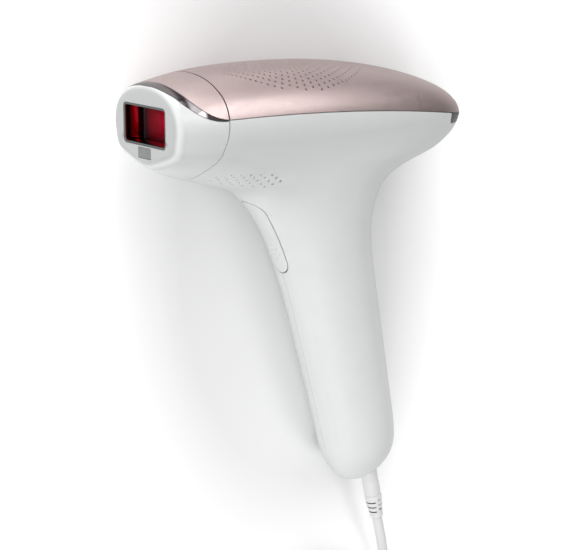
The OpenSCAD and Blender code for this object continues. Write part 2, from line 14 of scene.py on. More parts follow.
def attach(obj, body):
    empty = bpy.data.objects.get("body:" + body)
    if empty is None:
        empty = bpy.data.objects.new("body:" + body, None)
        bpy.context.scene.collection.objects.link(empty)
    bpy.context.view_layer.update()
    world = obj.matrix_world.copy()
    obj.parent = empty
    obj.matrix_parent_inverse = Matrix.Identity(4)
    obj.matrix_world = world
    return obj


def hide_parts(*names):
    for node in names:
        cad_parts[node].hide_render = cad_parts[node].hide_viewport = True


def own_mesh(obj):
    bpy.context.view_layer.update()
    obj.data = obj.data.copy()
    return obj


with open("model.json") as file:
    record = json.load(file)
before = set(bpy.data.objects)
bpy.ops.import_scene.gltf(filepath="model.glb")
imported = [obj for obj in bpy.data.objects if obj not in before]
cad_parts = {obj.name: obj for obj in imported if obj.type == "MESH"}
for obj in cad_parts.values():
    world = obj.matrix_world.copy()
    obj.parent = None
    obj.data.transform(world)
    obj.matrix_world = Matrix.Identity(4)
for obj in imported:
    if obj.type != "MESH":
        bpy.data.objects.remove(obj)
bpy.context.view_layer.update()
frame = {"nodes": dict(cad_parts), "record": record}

MM = 0.001
# The handset lies on its side, turned a little about its own length and about the table's Y.
PLACE = (
    Matrix.Scale(MM, 4)
    @ Matrix.Translation((-78.4, 70.5, 30.1))
    @ Matrix.Rotation(math.radians(3.8), 4, "Y")
    @ Matrix.Rotation(math.radians(-86.8), 4, "X")
)
# The lead's far end and the adapter are worked out on the table itself.
TABLE = Matrix.Scale(MM, 4)

# ---- Camera ----

# The view as the handset sees it, and where it has the middle of the treatment face, in mm: to the
# right, up and away.
VIEW_AZIMUTH, VIEW_ELEVATION = math.radians(36.003), math.radians(12.603)
FACE_SEEN_AT = (-56.14, 57.42, 683.93)


def linked(name, data):
    """A new object in the scene."""
    made = bpy.data.objects.new(name, data)
    bpy.context.scene.collection.objects.link(made)
    return made


def view_axes():
    """Right, up and back of the camera, in the handset's frame."""
    side, along = math.cos(VIEW_AZIMUTH), math.sin(VIEW_AZIMUTH)
    rise, level = math.sin(VIEW_ELEVATION), math.cos(VIEW_ELEVATION)
    return (Vector((side, -along, 0)), Vector((rise * along, rise * side, level)),
            Vector((-level * along, -level * side, rise)))


camera_data = bpy.data.cameras.new("camera")
camera_data.sensor_width = 36
camera_data.lens = 110.36
camera_data.clip_start = 0.01
camera_data.clip_end = 20
camera = linked("camera", camera_data)
right, up, back = view_axes()
seen_right, seen_up, seen_away = FACE_SEEN_AT
turned_axes = [(PLACE.to_3x3() @ axis).normalized() for axis in (right, up, back)]
camera.matrix_world = Matrix.LocRotScale(
    PLACE @ (seen_away * back - seen_right * right - seen_up * up), Matrix(turned_axes).transposed(), None
)
bpy.context.scene.camera = camera

# ---- Meshes and solids ----


def unit(v):
    return v / np.maximum(np.linalg.norm(v, axis=-1, keepdims=True), 1e-12)


def mesh_object(name, points, faces):
    """A mesh object from points and faces, with its normals facing out."""
    mesh = bpy.data.meshes.new(name)
    mesh.from_pydata([tuple(p) for p in points], [], faces)
    work = bmesh.new()
    work.from_mesh(mesh)
    bmesh.ops.recalc_face_normals(work, faces=work.faces)
    work.to_mesh(mesh)
    work.free()
    return linked(name, mesh)


def skin(name, rings, closed=False):
    """Closed solid through rings of points, capped at both ends or joined up in a loop."""
    rings = np.asarray(rings, float)
    count, around = rings.shape[:2]
    faces = []
    for i in range(count if closed else count - 1):
        a, b = i * around, (i + 1) % count * around
        for j in range(around):
            k = (j + 1) % around
            faces.append((a + j, a + k, b + k, b + j))
    if not closed:
        faces.append(tuple(range(around)))
        faces.append(tuple((count - 1) * around + j for j in range(around)))
    return mesh_object(name, rings.reshape(-1, 3), faces)


def join(name, solids):
    """Several solids as one mesh."""
    work = bmesh.new()
    for solid in solids:
        work.from_mesh(solid.data)
        drop(solid)
    mesh = bpy.data.meshes.new(name)
    work.to_mesh(mesh)
    work.free()
    return linked(name, mesh)


def drop(thing):
    mesh = thing.data
    bpy.data.objects.remove(thing)
    bpy.data.meshes.remove(mesh)


def combine(solid, tool, how):
    """Boolean of two closed solids: UNION, DIFFERENCE or INTERSECT. The tool is used up."""
    step = solid.modifiers.new("combine", "BOOLEAN")
    step.operation = how
    step.solver = "MANIFOLD"
    step.object = tool
    bpy.context.view_layer.update()
    graph = bpy.context.evaluated_depsgraph_get()
    result = bpy.data.meshes.new_from_object(solid.evaluated_get(graph))
    solid.modifiers.clear()
    old = solid.data
    solid.data = result
    bpy.data.meshes.remove(old)
    drop(tool)
    if not result.polygons:
        raise RuntimeError(f"nothing is left of {solid.name}")
    return solid


def cut(solid, *tools):
    for tool in tools:
        combine(solid, tool, "DIFFERENCE")
    return solid


def common(solid, *tools):
    for tool in tools:
        combine(solid, tool, "INTERSECT")
    return solid


def add(solid, *others):
    for other in others:
        combine(solid, other, "UNION")
    return solid


def box(low, high):
    (x0, y0, z0), (x1, y1, z1) = low, high
    ring = [(x0, y0), (x1, y0), (x1, y1), (x0, y1)]
    return skin("box", [[(x, y, z) for x, y in ring] for z in (z0, z1)])


def compass(count):
    """Cosines and sines of directions spread evenly round a circle."""
    turn = np.linspace(0, 2 * math.pi, count, endpoint=False)
    return np.cos(turn), np.sin(turn)


def circle_ring(centre, axis, radius, sides):
    """Points of a circle square to an axis."""
    axis = unit(np.asarray(axis, float))
    helper = np.array([0.0, 0, 1]) if abs(axis[2]) < 0.9 else np.array([1.0, 0, 0])
    u = unit(np.cross(axis, helper))
    v = np.cross(axis, u)
    c, s = compass(sides)
    return np.asarray(centre, float) + radius * (np.outer(c, u) + np.outer(s, v))


def turned(start, axis, profile, sides=48):
    """Solid of revolution: profile holds (distance along the axis, radius)."""
    axis = unit(np.asarray(axis, float))
    start = np.asarray(start, float)
    return skin("turned", [circle_ring(start + s * axis, axis, r, sides) for s, r in profile])


def rod(start, end, diameter, sides=48):
    span = np.asarray(end, float) - np.asarray(start, float)
    return turned(start, span, [(0, diameter / 2), (np.linalg.norm(span), diameter / 2)], sides)


def rounded_rectangle(half_w, half_h, radius, steps=6):
    """Outline of a rectangle with round corners, counter-clockwise."""
    outline = []
    for corner, (sx, sy) in enumerate(((1, 1), (-1, 1), (-1, -1), (1, -1))):
        for i in range(steps + 1):
            turn = math.pi / 2 * (corner + i / steps)
            outline.append((sx * (half_w - radius) + radius * math.cos(turn),
                            sy * (half_h - radius) + radius * math.sin(turn)))
    return outline


def smooth_path(points, steps=6):
    """Catmull-Rom curve through rows of numbers, with steps from each row to the next."""
    points = np.asarray(points, float)
    ends = np.vstack([2 * points[0] - points[1], points, 2 * points[-1] - points[-2]])
    out = []
    for p0, p1, p2, p3 in zip(ends, ends[1:], ends[2:], ends[3:]):
        for t in np.arange(steps) / steps:
            out.append(0.5 * (2 * p1 + (p2 - p0) * t + (2 * p0 - 5 * p1 + 4 * p2 - p3) * t**2
                              + (3 * p1 - p0 - 3 * p2 + p3) * t**3))
    return np.array(out + [points[-1]])


# ---- The body's surface ----

# Levels: height, front, rear, where it is widest, half width, squareness in front and behind.
LEVELS = np.array([
    [21.85, 55, 57, 56, 0, 2.2, 2], [21.5, 41, 71, 55, 4.8, 2.2, 2],
    [20.5, 26, 85, 50, 10, 2.2, 2], [18.6, 13.5, 100, 44, 15.4, 2.2, 2],
    [15.4, 0, 117, 40, 19.8, 2.3, 2], [11, -10, 133, 36, 23.8, 2.5, 2],
    [5.5, -16, 147, 34, 26, 2.7, 2], [0, -17, 155.2, 33, 26.6, 2.8, 2],
    [-5, -16, 158.6, 34, 26, 2.8, 2], [-10, -13, 157.6, 38, 24.2, 3.2, 2],
    [-15, 0.5, 153.2, 48, 22.6, 2.4, 2], [-20, 8.4, 144, 64, 21.4, 2, 2],
    [-25, 24, 127.6, 72, 20.8, 2, 2], [-30, 40.4, 116.2, 76, 20.4, 2, 2.1],
    [-37, 48.9, 110.8, 79, 20, 2, 2.1], [-46, 55.6, 107.8, 82, 19.6, 2.1, 2.1],
    [-58, 61.8, 107.6, 84.5, 19.1, 2.1, 2.1], [-76, 68.6, 110.4, 89.3, 18.2, 2.1, 2.1],
    [-98, 74.9, 114.5, 94.7, 17.1, 2.1, 2.1], [-120, 80.9, 118.4, 99.8, 16.1, 2.1, 2.1],
    [-138, 85.6, 121.6, 103.6, 15.5, 2.1, 2.1], [-148, 88.3, 121.6, 105, 14.5, 2.1, 2.1],
    [-155, 91.2, 117.6, 104.5, 12.3, 2.1, 2.1], [-159.5, 94.6, 111.4, 103, 9, 2, 2],
    [-162.2, 98.4, 106.2, 102.3, 4.7, 2, 2], [-163, 101.8, 102.8, 102.3, 0, 2, 2],
])
TIP_HALF = 0.12


def fine_levels(steps):
    """Rows between the levels, which stay a little wide where the body ends in a point."""
    rows = smooth_path(LEVELS, steps)
    rows[:, 4] = np.maximum(rows[:, 4], TIP_HALF)
    return rows


RISING_LEVELS = fine_levels(24)[::-1]


def level_at(z):
    return np.stack([np.interp(z, RISING_LEVELS[:, 0], column) for column in RISING_LEVELS.T], -1)


def body_value(p):
    """Below 0 inside the body and above 0 outside it."""
    row = level_at(p[..., 2])
    rear = p[..., 0] >= row[..., 3]
    reach = np.where(rear, row[..., 2] - row[..., 3], row[..., 3] - row[..., 1])
    power = np.where(rear, row[..., 6], row[..., 5])
    along = np.abs(p[..., 0] - row[..., 3]) / np.maximum(reach, 1e-6)
    aside = np.abs(p[..., 1]) / row[..., 4]
    ends = (p[..., 2] > LEVELS[0, 0]) | (p[..., 2] < LEVELS[-1, 0])
    return np.minimum(along, 50) ** power + np.minimum(aside, 50) ** power - 1 + np.where(ends, 1e3, 0)


def body_normal(p):
    """Outward normal at points on the surface."""
    step = 0.02
    slope = [body_value(p + step * e) - body_value(p - step * e) for e in np.eye(3)]
    return unit(np.stack(slope, -1))


def leave_body(point_at, low, high, count=()):
    """The points at which rays leave the body; point_at(t) gives one point on each ray."""
    low, high = np.full(count, float(low)), np.full(count, float(high))
    for _ in range(40):
        middle = (low + high) / 2
        inside = body_value(point_at(middle)) < 0
        low = np.where(inside, middle, low)
        high = np.where(inside, high, middle)
    return point_at((low + high) / 2)


def body_grid(steps, around, inset=0.0):
    """Rings of points down the body's surface, or inside it by inset."""
    c, s = compass(around)
    rows = fine_levels(steps)
    power = np.where(c >= 0, rows[:, 6:7], rows[:, 5:6])
    reach = np.where(c >= 0, rows[:, 2:3] - rows[:, 3:4], rows[:, 3:4] - rows[:, 1:2])
    x = rows[:, 3:4] + np.sign(c) * reach * np.abs(c) ** (2 / power)
    y = np.sign(s) * rows[:, 4:5] * np.abs(s) ** (2 / power)
    grid = np.stack([x, y, np.broadcast_to(rows[:, 0:1], x.shape)], -1)
    if inset:
        ahead = np.roll(grid, -1, 1) - np.roll(grid, 1, 1)
        down = np.gradient(grid, axis=0)
        grid = grid - inset * unit(np.cross(down, ahead))
    return grid


def body_solid(inset=0.0):
    if inset:
        return skin("body", body_grid(4, 96, inset))
    return skin("body", body_grid(8, 224))


def shell(thickness):
    return cut(body_solid(), body_solid(thickness))


def groove(path, radius, depth, closed=True):
    """Tool that cuts a narrow groove, deeper than it is wide, along a path on the body's surface."""
    path = np.asarray(path, float)
    if closed:
        tangent = unit(np.roll(path, -1, 0) - np.roll(path, 1, 0))
    else:
        tangent = unit(np.gradient(path, axis=0))
    out = body_normal(path)
    aside = unit(np.cross(tangent, out))
    out = np.cross(aside, tangent)
    c, s = (part[None, :, None] for part in compass(8))
    up = np.where(c > 0, radius, depth) * c
    rings = path[:, None] + up * out[:, None] + radius * s * aside[:, None]
    return skin("groove", rings, closed)


# ---- Seams and outlines that part.scad uses too ----

SEAM_R, SEAM_X, SEAM_Z = 50, 22, 2.7
PARTING_R, PARTING_X, PARTING_Z = 758, 35, 3.3
TRIM_TOP_Z = 22
TRIM_UPPER = (22.5, 19.5, 18.7, 1.8)
TRIM_LOWER = (20.5, 21, 19.2, 1.9)
WALL, THIN_WALL = 2.2, 1.8
ATTACHMENT_WALL = 2.0
FACE_WALL = 2.6
WINDOW_W, WINDOW_H = 29, 14
SENSOR_W, SENSOR_H, SENSOR_R = 9.4, 4.4, 0.5
SENSOR_Z = -WINDOW_H / 2 - 1.5 - SENSOR_H / 2
TRIGGER_CENTRE = np.array([56, 0, -50.6])
TRIGGER_IN = np.array([math.cos(math.radians(30.2)), 0, math.sin(math.radians(30.2))])
TRIGGER_UP = np.array([-TRIGGER_IN[2], 0, TRIGGER_IN[0]])
TRIGGER_TOP_R, TRIGGER_FOOT_R, TRIGGER_REACH = 6.5, 5.4, 18.2
PIN_AT = (55, -39.2)
SCREWS = ((134, -10), (67, -28), (97, -147))
OUTLET = np.array([111, 0, -157])
OUTLET_DIR = np.array([math.sin(math.radians(12.7)), 0, -math.cos(math.radians(12.7))])
BUTTON_Z = -6.3
PANEL_X, PANEL_FOOT = 147, -9.8
FIT = 0.06  # what each side of the parting leaves free
PIN_BORE, KEY_BORE = 2.4, 2.6
STATUS_LIGHTS_Y = (-7.4, -5.2, 5.2, 7.4)

# Grooves where pieces meet: radius of the mouth, and how deep it goes.
PARTING_GROOVE, SEAM_GROOVE, TRIGGER_GROOVE = (0.2, 0.9), (0.28, 2.6), (0.3, 2.4)
TRIM_GROOVE, MIDDLE_GROOVE = (0.16, 0.6), (0.16, 0.5)


def seam_x(z, radius=SEAM_R):
    return SEAM_X - SEAM_R + np.sqrt(radius**2 - (z - SEAM_Z) ** 2)


def parting_z(x):
    return PARTING_Z - PARTING_R + np.sqrt(PARTING_R**2 - (x - PARTING_X) ** 2)


def side_prism(outline, y0=-40.0, y1=40.0):
    """Solid over an outline in the side view, given as (x, z)."""
    return skin("prism", [[(x, y, z) for x, z in outline] for y in (y0, y1)])


def seam_edge(radius):
    z = np.linspace(-30, 30, 121)
    return list(zip(seam_x(z, radius), z))


def behind_seam(radius):
    """Everything behind the seam."""
    edge = seam_edge(radius)
    return side_prism([*edge, (200, 30), (200, -200), (edge[0][0], -200)])


def ahead_of_seam(radius):
    return side_prism([(-60, -30), *seam_edge(radius), (-60, 30)])


def parting_edge(lift):
    x = np.linspace(-60, 200, 131)
    return list(zip(x, parting_z(x) + lift))


def above_parting(lift):
    return side_prism([*parting_edge(lift), (200, 60), (-60, 60)])


def below_parting(lift):
    return side_prism([(-60, -220), (200, -220), *parting_edge(lift)[::-1]])


def trim_arc(arc, steps=40):
    """Edge of the trim band in the side view, from its foremost point down to the seam."""
    centre, half_x, half_z, power = arc
    turn = np.linspace(0, math.pi / 2, steps + 1)
    return np.stack([centre - half_x * np.cos(turn) ** (2 / power),
                     TRIM_TOP_Z - half_z * np.sin(turn) ** (2 / power)], -1)


def above_trim(arc):
    edge = trim_arc(arc)
    return side_prism([(30, 40), (edge[0][0], 40), *map(tuple, edge), (30, edge[-1][1])])


def trim_line(arc):
    """Where an arc of the trim runs over the body, from one side over the top to the other."""
    flat = np.vstack([trim_arc(arc, 160), [[seam_x(arc[2]) + 4, TRIM_TOP_Z - arc[2]]]])
    centre_line = np.stack([flat[:, 0], np.zeros(len(flat)), flat[:, 1]], -1)
    flat = flat[body_value(centre_line) < -1e-4]
    near = leave_body(lambda t: np.stack([flat[:, 0], -t, flat[:, 1]], -1), 0, 30, len(flat))
    return np.vstack([near[::-1], near * [1, -1, 1]])


def seam_line(count=240):
    c, s = compass(count)
    return leave_body(lambda t: np.stack([seam_x(t * s), t * c, t * s], -1), 0, 32, count)


def parting_line(count=300):
    c, s = compass(count)
    return leave_body(lambda t: np.stack([60 + t * c, t * s, parting_z(60 + t * c)], -1), 0, 130, count)


def tail_corner_outline(grow=0.0):
    """The tail panel in the side view, with its lower front corner rounded."""
    r = 1.6 + grow
    x, z = PANEL_X - grow, PANEL_FOOT - grow
    corner = [(x + r - r * math.cos(a), z + r - r * math.sin(a)) for a in np.linspace(0, math.pi / 2, 9)]
    return [(x, 20), *corner, (175, z), (175, 20)]


def trigger_outline(grow=0.0, steps=28):
    """Tapered capsule, as (across, up) on the trigger."""
    top, foot = TRIGGER_REACH - TRIGGER_TOP_R, -(TRIGGER_REACH - TRIGGER_FOOT_R)
    lean = math.asin((TRIGGER_TOP_R - TRIGGER_FOOT_R) / (top - foot))
    outline = []
    for centre, radius, start, end in ((top, TRIGGER_TOP_R, -lean, math.pi + lean),
                                       (foot, TRIGGER_FOOT_R, math.pi + lean, 2 * math.pi - lean)):
        for turn in np.linspace(start, end, steps):
            outline.append(((radius + grow) * math.cos(turn), centre + (radius + grow) * math.sin(turn)))
    return np.array(outline)


def on_trigger(outline, depth):
    aside, up = outline.T
    return TRIGGER_CENTRE + depth * TRIGGER_IN + np.outer(aside, [0, 1, 0]) + np.outer(up, TRIGGER_UP)


def trigger_prism(grow=0.0, low=-20.0, high=20.0):
    outline = trigger_outline(grow)
    return skin("trigger", [on_trigger(outline, d) for d in (low, high)])


def trigger_line():
    outline = trigger_outline(0.17, 60)
    base = on_trigger(outline, 0)
    return leave_body(lambda t: base + np.outer(-t, TRIGGER_IN), -9, 12, len(base))


def across(diameter, y0, y1, at):
    """Rod across the handset, at a place in the side view."""
    return rod((at[0], y0, at[1]), (at[0], y1, at[1]), diameter)


# ---- Vents ----

TOP_VENTS_X, TOP_VENTS_AHEAD, TOP_VENTS_BEHIND = 65, 39, 36
TOP_VENTS_REACH, TOP_VENTS_STEP = 25.9, 2.2
SIDE_VENTS_REAR, SIDE_VENTS_FRONT = 51.0, 22.0


def drills(points, diameters):
    """Short drills that go in along the body's normal."""
    tools = []
    for p, n, d in zip(points, body_normal(points), diameters):
        profile = [(0, d * 0.75), (0.95, d * 0.72), (1.35, d / 2), (4.4, d / 2)]
        tools.append(turned(p + 1.2 * n, -n, profile, 10))
    return join("drills", tools)


def from_crest(x, reach):
    """Point on the top of the body, at a distance round it from its crest."""
    y = np.linspace(0, 26, 261)
    arc = leave_body(lambda t: np.stack([np.full_like(y, x), y, t], -1), 3, 21.9, len(y))
    length = np.append(0, np.cumsum(np.linalg.norm(np.diff(arc, axis=0), axis=1)))
    found = np.array([np.interp(abs(reach), length, arc[:, k]) for k in range(3)])
    return found * [1, np.sign(reach), 1]


def top_vents():
    """Holes in rows that fan out from the crest to both sides, over a leaf-shaped field."""
    points, sizes = [], []
    for column in range(-22, 23):
        for row in range(-12, 13):
            reach = TOP_VENTS_STEP * (row + 0.5 * (column % 2))
            x = TOP_VENTS_X + column * (1.9 + 1.9 * (reach / 24) ** 2)
            along = (x - TOP_VENTS_X) / (TOP_VENTS_BEHIND if x > TOP_VENTS_X else TOP_VENTS_AHEAD)
            if abs(along) < 0.97 and abs(reach) < TOP_VENTS_REACH * (1 - along**2) ** 0.4:
                points.append(from_crest(x, reach))
                sizes.append(0.95 - 0.3 * abs(along) ** 3)
    return drills(np.array(points), sizes)


def side_vents(side):
    """Holes in a leaf-shaped field, which get smaller and closer toward its point in front."""
    spots, sizes = [], []
    x, column, pitch = SIDE_VENTS_REAR, 0, 2.6
    while x > SIDE_VENTS_FRONT:
        centre = -24.2 + 0.1 * (SIDE_VENTS_REAR - x)
        behind, ahead = SIDE_VENTS_REAR + 1 - x, x - SIDE_VENTS_FRONT + 1
        half = 3.5 * min(1, behind / 5) ** 0.8 * min(1, ahead / 17) ** 0.6
        for row in range(-4, 5):
            z = centre + 1.08 * pitch * (row + 0.5 * (column % 2))
            if abs(z - centre) < half:
                spots.append((x + 0.25 * (z - centre), z))
                sizes.append(0.44 * pitch)
        x -= pitch
        column += 1
        pitch *= 0.965
    spots = np.array(spots)
    points = leave_body(lambda t: np.column_stack([spots[:, 0], side * t, spots[:, 1]]), 0, 30, len(spots))
    return drills(points, sizes)


# ---- Handset shells ----


def middle_line():
    """Parting line of the two halves: down the front, round the foot and up the back."""
    grid = body_grid(8, 8)
    front, rear = grid[:, 4], grid[:, 0]
    below = front[:, 2] < parting_z(front[:, 0])
    behind = front[:, 0] > seam_x(np.clip(front[:, 2], -40, 40))
    return np.vstack([front[below & behind], rear[rear[:, 2] < PANEL_FOOT][::-1]])


def housing_half(side):
    half = shell(WALL)
    slab = sorted((side * FIT / 2, side * 50))
    common(half, below_parting(-FIT), behind_seam(SEAM_R), box((0, slab[0], -180), (200, slab[1], 60)))
    cut(half, trigger_prism(0.35), side_prism(tail_corner_outline(0.12)),
        rod(OUTLET - 4 * OUTLET_DIR, OUTLET + 12 * OUTLET_DIR, 7.9),
        across(PIN_BORE, -8.6, 8.6, PIN_AT), side_vents(side),
        groove(parting_line(), *PARTING_GROOVE), groove(seam_line(), *SEAM_GROOVE),
        groove(trigger_line(), *TRIGGER_GROOVE), groove(middle_line(), *MIDDLE_GROOVE, closed=False))
    return half


def bosses(side):
    """Screw bosses and the seat of the trigger's pin, inside one half. The screws' heads are in the right."""
    heads = side > 0
    parts = [across(9, 0.05, 30, spot) if heads else across(6, -30, -0.05, spot) for spot in SCREWS]
    parts.append(across(5.2, 7, 12, PIN_AT) if heads else across(5.2, -12, -7, PIN_AT))
    made = common(join("bosses", parts), body_solid(WALL - 0.3))
    cut(made, *[across(3.2 if heads else 2.4, -12, 40, spot) for spot in SCREWS])
    if heads:
        cut(made, *[across(6, 9, 40, spot) for spot in SCREWS])
    return cut(made, across(PIN_BORE, -8.6, 8.6, PIN_AT))


def left_half():
    return add(housing_half(-1), bosses(-1))


def right_half():
    half = cut(housing_half(1), *[across(6, 4, 40, spot) for spot in SCREWS])
    return add(half, bosses(1))


def tail_light_drill(y):
    """Drill for a status light, square to the tail's outline."""
    middle_x, reach, half_w = 34, 124.6, 26
    x = middle_x + reach * math.sqrt(1 - (y / half_w) ** 2)
    turn = math.atan2(y / half_w**2, (x - middle_x) / reach**2)
    out = np.array([math.cos(turn), math.sin(turn), 0])
    at = np.array([x, y, BUTTON_Z])
    return rod(at - 6 * out, at + 3 * out, 1.6, 24)


def tail_holes(thing):
    """Cuts the power button's hole and the lights' holes."""
    button_hole = rod((140, 0, BUTTON_Z), (180, 0, BUTTON_Z), 6.4)
    return cut(thing, button_hole, *map(tail_light_drill, STATUS_LIGHTS_Y))


def cover():
    made = shell(WALL)
    common(made, above_parting(FIT), behind_seam(SEAM_R))
    cut(made, groove(parting_line(), *PARTING_GROOVE), groove(seam_line(), *SEAM_GROOVE), top_vents())
    return tail_holes(made)


def tail_panel():
    made = shell(THIN_WALL)
    common(made, below_parting(-FIT), side_prism(tail_corner_outline(-0.04)))
    return tail_holes(made)


# Bumps on the trigger, as (up, aside).
BUMPS = ((-6.2, 0), (-6.9, -1.9), (-6.9, 1.9), (-8.9, 0), (-9.6, -2.2), (-9.6, 2.2), (-11.4, 0))
BUMP_HEIGHT, BUMP_R = 0.55, 0.75


def bump(up, aside):
    base = TRIGGER_CENTRE + up * TRIGGER_UP + np.array([0, aside, 0])
    top = leave_body(lambda t: base - t * TRIGGER_IN, -9, 12)
    n = body_normal(top)
    rise = np.linspace(0, math.pi / 2, 7)
    dome = [(0.4 + BUMP_HEIGHT * math.sin(a), BUMP_R * math.cos(a) + 0.001) for a in rise]
    return turned(top - 0.4 * n, n, [(-0.3, BUMP_R), *dome], 20)


def trigger():
    """The key, with the lug that it turns on and the arm that presses the plunger."""
    made = common(shell(THIN_WALL), trigger_prism())
    cut(made, groove(trigger_line(), *TRIGGER_GROOVE), across(KEY_BORE, -30, 30, PIN_AT))
    add(made, *[bump(*place) for place in BUMPS])
    lug = across(5.4, -5, 5, PIN_AT)
    add(lug, common(box((40, -3, -44), (55, 3, -38)), body_solid(1.5)))
    add(made, cut(lug, across(KEY_BORE, -30, 30, PIN_AT)))
    outline = np.array([(-1.5, -1.5), (1.5, -1.5), (1.5, 1.5), (-1.5, 1.5)]) - [0, 11]
    arm = skin("arm", [on_trigger(outline, d) for d in (-12, 4.6)])
    return add(made, common(arm, body_solid(1.5)))


SPRING_UP, SPRING_OUTER, SPRING_INNER = 3.0, 4.0, 13.0
SPRING_R, SPRING_WIRE_R, SPRING_TURNS = 2.2, 0.3, 5


def trigger_spring():
    """Wire spring between the key and the bracket behind it."""
    turn = np.linspace(0, 2 * math.pi * SPRING_TURNS, 24 * SPRING_TURNS + 1)
    depth = np.interp(turn, (0, turn[-1]), (SPRING_OUTER + SPRING_WIRE_R, SPRING_INNER - SPRING_WIRE_R))
    path = TRIGGER_CENTRE + SPRING_UP * TRIGGER_UP + np.outer(depth, TRIGGER_IN) + SPRING_R * (
        np.outer(np.cos(turn), [0, 1, 0]) + np.outer(np.sin(turn), TRIGGER_UP))
    wire = [circle_ring(c, t, SPRING_WIRE_R, 10) for c, t in zip(path, np.gradient(path, axis=0))]
    return skin("spring", wire)


# ---- Attachment ----

EDGE_R = 4.0
RING_STEPS = 160


def nose_ring(x):
    """Outline of the body square to its length, at x."""
    c, s = compass(RING_STEPS)
    level = np.full(RING_STEPS, float(x))
    return leave_body(lambda t: np.stack([level, t * c, t * s], -1), 0, 32, RING_STEPS)


def drawn_in(ring, inset, x):
    """The ring moved in by inset within its own plane, and put at x."""
    along = unit(np.roll(ring, -1, 0) - np.roll(ring, 1, 0))
    moved = ring - inset * np.stack([np.zeros(len(ring)), along[:, 2], -along[:, 1]], -1)
    moved[:, 0] = x
    return moved


def attachment_form():
    base = nose_ring(EDGE_R)
    rings = [drawn_in(base, EDGE_R + 6.0, 0.0), drawn_in(base, EDGE_R + 2.0, 0.0)]
    for turn in np.linspace(math.pi / 2, 0, 13):
        rings.append(drawn_in(base, EDGE_R * (1 - math.cos(turn)), EDGE_R * (1 - math.sin(turn))))
    rings += [nose_ring(x) for x in np.linspace(EDGE_R, 26, 45)[1:]]
    solid = skin("attachment", rings)
    inner = []
    for x in np.linspace(FACE_WALL, 28, 20):
        inset = ATTACHMENT_WALL + 2.0 * max(0, (7 - x) / (7 - FACE_WALL)) ** 2
        inner.append(drawn_in(nose_ring(max(x, EDGE_R)), inset, x))
    cut(solid, skin("inner", inner))
    return common(solid, ahead_of_seam(SEAM_R - 0.2))


def on_face(width, height, radius, grow, x, z=0.0):
    """Ring of a rounded rectangle parallel to the treatment face, at x, with its middle at height z."""
    outline = rounded_rectangle(width / 2 + grow, height / 2 + grow, radius)
    return [(x, y, up + z) for y, up in outline]


def trim_groove(arc):
    return groove(trim_line(arc), *TRIM_GROOVE, closed=False)


def attachment_white():
    window = skin("window", [on_face(WINDOW_W, WINDOW_H, 2.0, 1.0, x) for x in (-1, 6)])
    sensor = skin("sensor", [on_face(SENSOR_W, SENSOR_H, SENSOR_R, 0, x, SENSOR_Z) for x in (-1, 6)])
    return cut(attachment_form(), above_trim(TRIM_LOWER), window, sensor,
               trim_groove(TRIM_LOWER), groove(seam_line(), *SEAM_GROOVE))


def attachment_rose():
    made = common(attachment_form(), above_trim(TRIM_UPPER))
    return cut(made, trim_groove(TRIM_UPPER), groove(seam_line(), *SEAM_GROOVE))


def trim_band():
    made = common(attachment_form(), above_trim(TRIM_LOWER))
    return cut(made, above_trim(TRIM_UPPER), trim_groove(TRIM_UPPER), trim_groove(TRIM_LOWER))


def window_box():
    """Mirror tube behind the window, with a narrow rim rounded into the face."""
    outer = [(0.0, 0.7), (0.1, 0.9), (0.3, 0.95), (8.0, 0.95)]
    inner = [(8.0, 0.0), (0.35, 0.0), (0.12, 0.1), (0.0, 0.3)]
    rings = [on_face(WINDOW_W, WINDOW_H, 1.2 + grow, grow, x + 0.1) for x, grow in outer + inner]
    return skin("window_box", rings, closed=True)


def sensor_pane():
    """Pane with a narrow bevel round its front."""
    section = ((0.1, -0.35), (0.12, -0.2), (0.3, -0.1), (3.1, -0.1))
    rings = [on_face(SENSOR_W, SENSOR_H, SENSOR_R, grow, x, SENSOR_Z) for x, grow in section]
    return skin("sensor_pane", rings)


# ---- Lead, coil and adapter ----

CORD_D = 4.5
LEAD_ROUTE = [
    (37.7, -113, 12.1), (38.8, -117.5, 11.7), (40, -122, 11.1), (41.3, -126.5, 10.2),
    (42.6, -131, 9.1), (43.9, -135.5, 7.8), (45.1, -140, 6.5), (46.3, -144.5, 5.2),
    (47.4, -149, 4.1), (48.4, -153.5, 3.2), (49.3, -158, 2.6), (50.2, -162, 2.3),
    (50.8, -165.6, 2.25),
]
ADAPTER_ROUTE = [
    (22, -201.5, 15.75), (17.5, -201.4, 15.7), (13, -200.8, 15.5), (8.5, -199.6, 15.2),
    (4, -197.9, 14.9), (-0.5, -195.9, 14.6), (-5, -194.1, 14.3), (-9.5, -192.8, 14.1),
    (-14.5, -192.1, 14), (-20, -192, 14), (-23, -192, 14),
]
COIL_CENTRE = (22, -172)
COIL_OUTER_R = 29.5
COIL_START = 12.46
COIL_TURN = 9 * 360 + 102.46
MOVE_ANGLE = 33.9
FIRST_MOVE = 311.3
# One move a turn, to the next place in the stack: how many windows earlier it comes, and the change
# in radius and in height, in cord diameters.
COIL_MOVES = [(0, -1, 0), (0, -1, 0), (1, 0, 1), (2, 1, 0), (2, 1, 0), (3, 0, 1), (4, -1, 0), (5, 0, 1),
              (6, 1, 0)]
ADAPTER_END = (-32, -192, 14)
ADAPTER_LEN, ADAPTER_W, ADAPTER_H = 50, 42, 28
PIN_PITCH = 18.6


